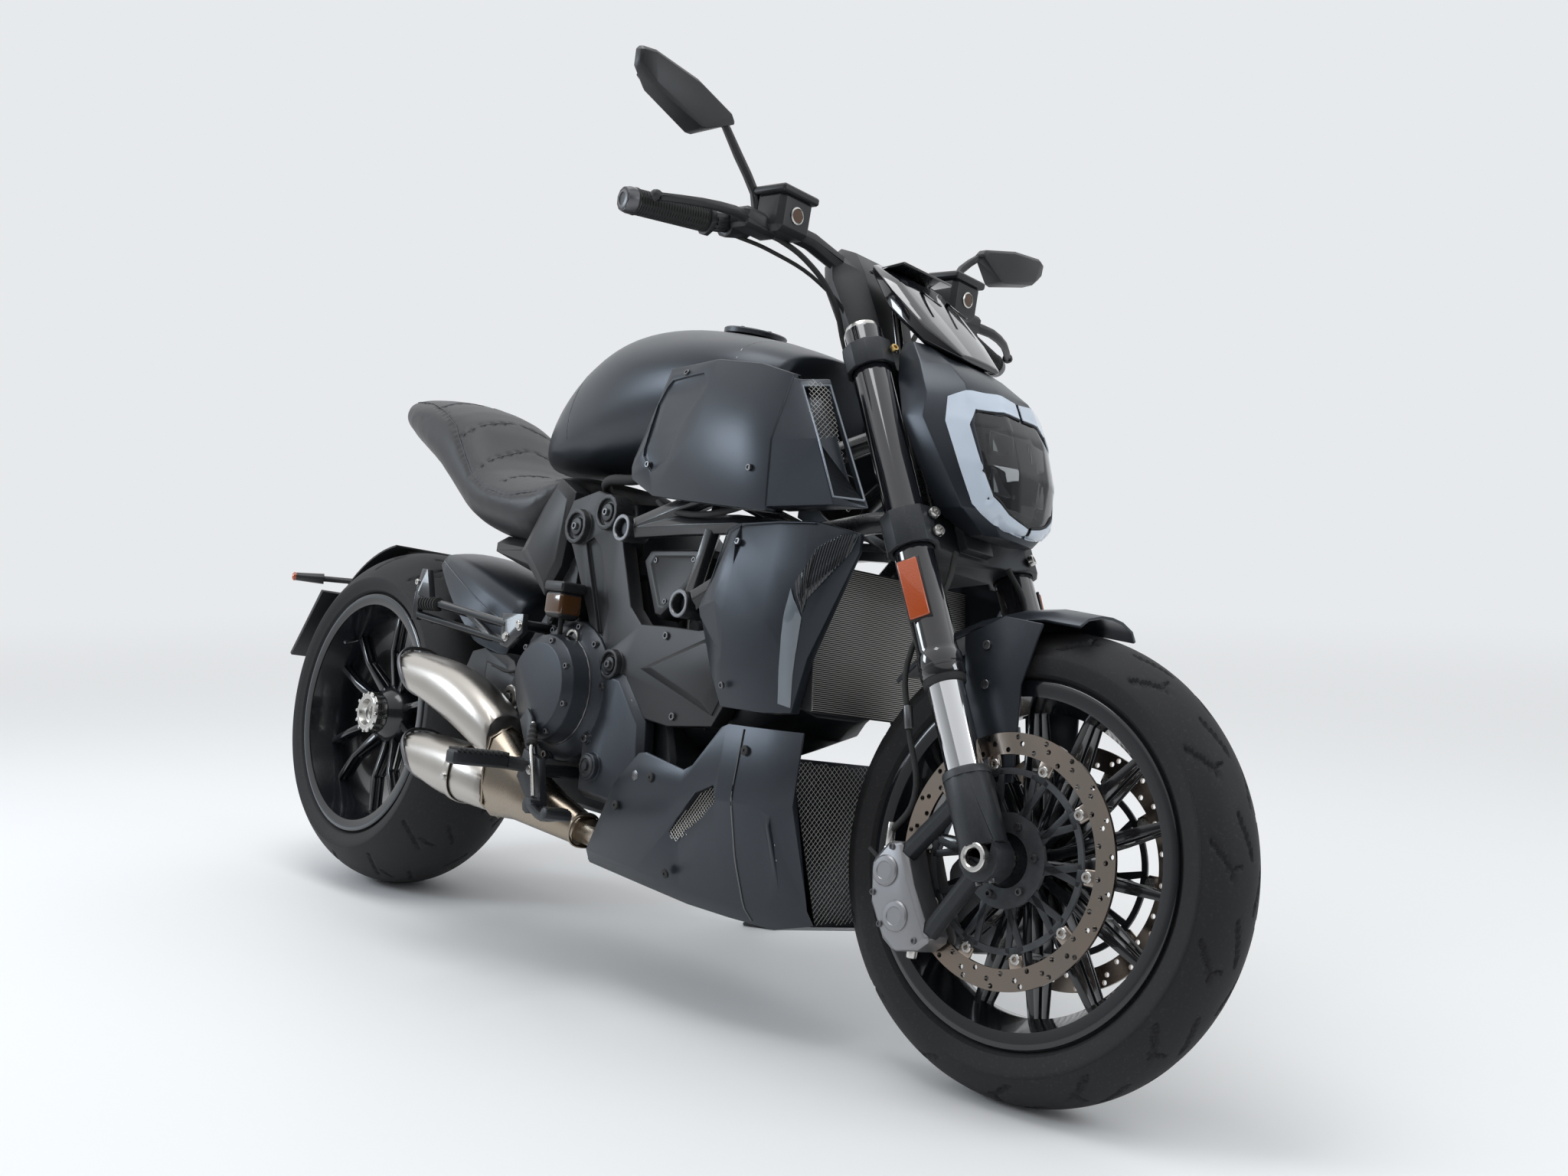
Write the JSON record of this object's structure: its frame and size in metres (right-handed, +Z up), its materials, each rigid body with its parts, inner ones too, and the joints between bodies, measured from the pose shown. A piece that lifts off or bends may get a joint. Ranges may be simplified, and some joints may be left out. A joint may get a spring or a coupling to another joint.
{
  "type": "motorcycle",
  "caption": "Muscle cruiser motorcycle, leaning on its side stand, with steering, turning wheels, folding stand, open trellis frame and a chain drive on a single-sided swingarm.",
  "frame": {"origin": "centre of the bottom of the parked machine's box, on the floor", "axes": "+X forward, +Y to the rider's left, +Z up; the machine leans to its left on its side stand, and its steering rests a few degrees to the left"},
  "size_m": [2.251, 0.9784, 1.3629],
  "materials": {
    "satin_black": "satin",
    "gloss_black": "gloss",
    "frame_black": "satin",
    "black_casting": "matt coated",
    "grey_casting": "satin",
    "brushed_steel": "brushed",
    "black_plastic": "matt",
    "seat_cover": "grained",
    "lens": "clear cover over a dark reflector",
    "tyre": "matt"
  },
  "bodies": {
    "chassis": {"belly_pan": "satin_black", "belt_cover": "black_plastic", "clutch_cover": "black_casting", "crankcase": "black_casting", "drive_chain": "brushed_steel", "electronics_cover": "black_plastic", "exhaust_header": "brushed_steel", "front_cylinder": "black_casting", "fuel_tank": "satin_black", "intake_cover_left": "satin_black", "intake_cover_right": "satin_black", "passenger_peg_left": "frame_black", "passenger_peg_right": "frame_black", "plate_holder": "black_plastic", "radiator": "black_plastic", "radiator_cover_left": "satin_black", "radiator_cover_right": "satin_black", "rear_brake_reservoir": "black_plastic", "rear_cylinder": "black_casting", "rear_hugger": "satin_black", "rider_peg_left": "black_casting", "rider_peg_right": "black_casting", "seat": "seat_cover", "silencer_lower": "brushed_steel", "silencer_upper": "brushed_steel", "stand_bracket": "frame_black", "swingarm": "black_casting", "swingarm_pivot": "black_casting", "tail_frame": "black_plastic", "trellis_frame": "frame_black"},
    "steering": {"brake_control_right": "black_casting", "clutch_control_left": "black_casting", "fork_lower_left": "black_casting", "fork_lower_right": "black_casting", "fork_tube_left": "gloss_black", "fork_tube_right": "gloss_black", "front_axle": "brushed_steel", "front_caliper_left": "grey_casting", "front_caliper_right": "grey_casting", "front_mudguard": "satin_black", "handlebar": "black_plastic", "headlamp_lens": "lens", "headlamp_shell": "satin_black", "instrument_cowl": "gloss_black", "lower_fork_clamp": "black_casting", "mirror_left": "black_plastic", "mirror_right": "black_plastic", "upper_fork_clamp": "black_casting"},
    "front_wheel": {"front_disc_left": "brushed_steel", "front_disc_right": "brushed_steel", "front_rim": "gloss_black", "front_tyre": "tyre"},
    "rear_wheel": {"rear_axle": "brushed_steel", "rear_disc": "brushed_steel", "rear_rim": "gloss_black", "rear_sprocket": "brushed_steel", "rear_tyre": "tyre"},
    "side_stand": {"side_stand": "frame_black"}
  },
  "joints": [
    {"name": "steering_hinge", "type": "hinge", "parent": "chassis", "child": "steering", "pos_m": [0.94587, -0.19869, -0.00048], "axis": [-0.4525, 0.1594, 0.8774], "range_deg": [-37.7, 28.3]},
    {"name": "front_wheel_spin", "type": "hinge", "parent": "steering", "child": "front_wheel", "pos_m": [0.82626, -0.14266, 0.2944], "axis": [-0.0731, 0.9739, -0.2147], "continuous": true},
    {"name": "rear_wheel_spin", "type": "hinge", "parent": "chassis", "child": "rear_wheel", "pos_m": [-0.77361, -0.14026, 0.32103], "axis": [0, 0.9839, -0.1788], "continuous": true},
    {"name": "side_stand_hinge", "type": "hinge", "parent": "chassis", "child": "side_stand", "pos_m": [-0.11877, -0.01898, 0.19425], "axis": [0.1363, 0.7235, 0.6767], "range_deg": [0, 97]}
  ]
}
